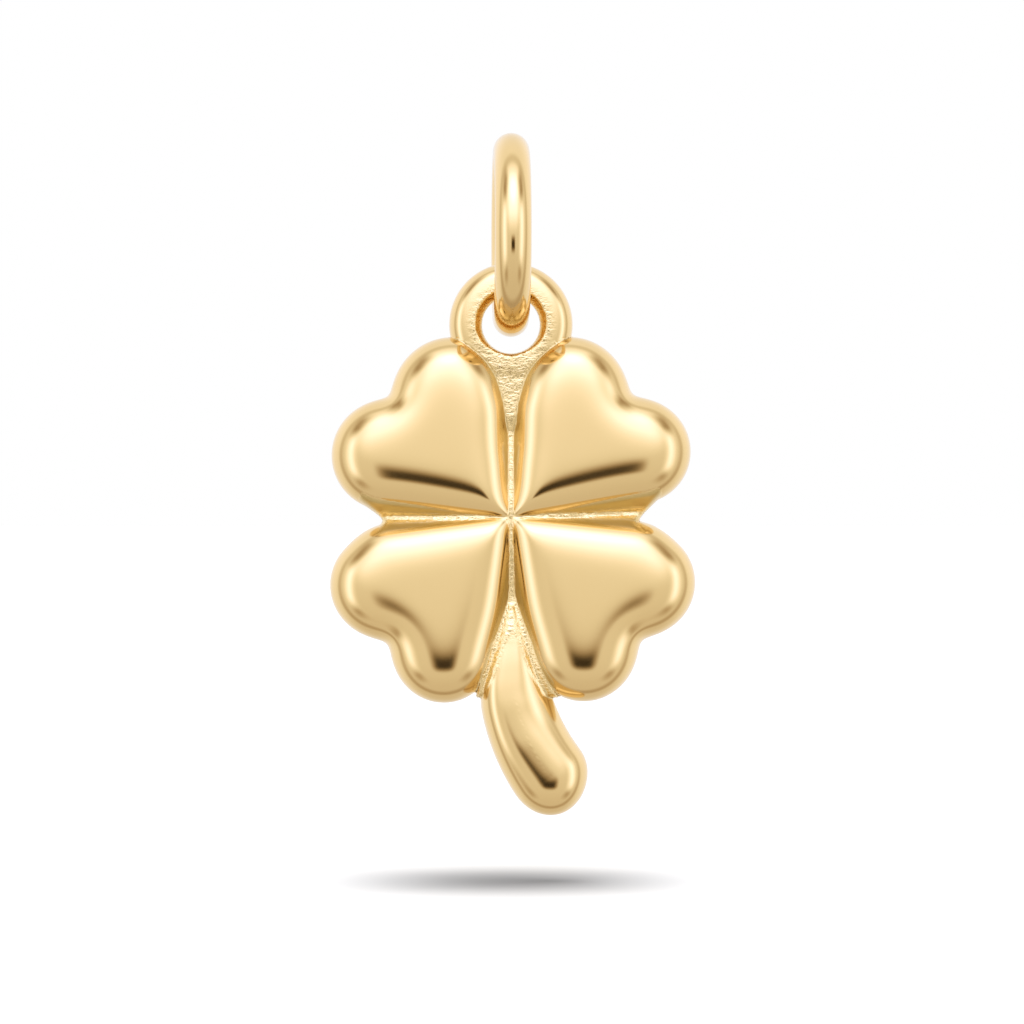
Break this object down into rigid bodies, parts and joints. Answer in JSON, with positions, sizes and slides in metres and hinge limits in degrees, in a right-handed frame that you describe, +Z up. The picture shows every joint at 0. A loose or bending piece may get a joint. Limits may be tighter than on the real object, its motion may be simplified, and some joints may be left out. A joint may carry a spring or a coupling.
{
  "type": "four leaf clover pendant",
  "caption": "Small polished gold pendant: domed heart-shaped leaves round one middle, a curved stem and a cast eyelet that hangs from a round jump ring.",
  "frame": {"origin": "top of the jump ring's opening, where a chain or clasp carries the pendant", "axes": "+Z up along the hanging pendant, +X to the right seen from the front, the domed front faces -Y"},
  "size_m": [0.0101, 0.0056, 0.019],
  "materials": {
    "ring_gold": "polished",
    "clover_gold": "polished"
  },
  "bodies": {
    "jump_ring": {"jump_ring": "ring_gold"},
    "clover": {"clover": "clover_gold"}
  },
  "joints": [
    {"name": "clover_swing", "type": "hinge", "parent": "jump_ring", "child": "clover", "pos_m": [0, 0, -0.00415], "axis": [0, 1, 0], "range_deg": [-110, 110]}
  ]
}
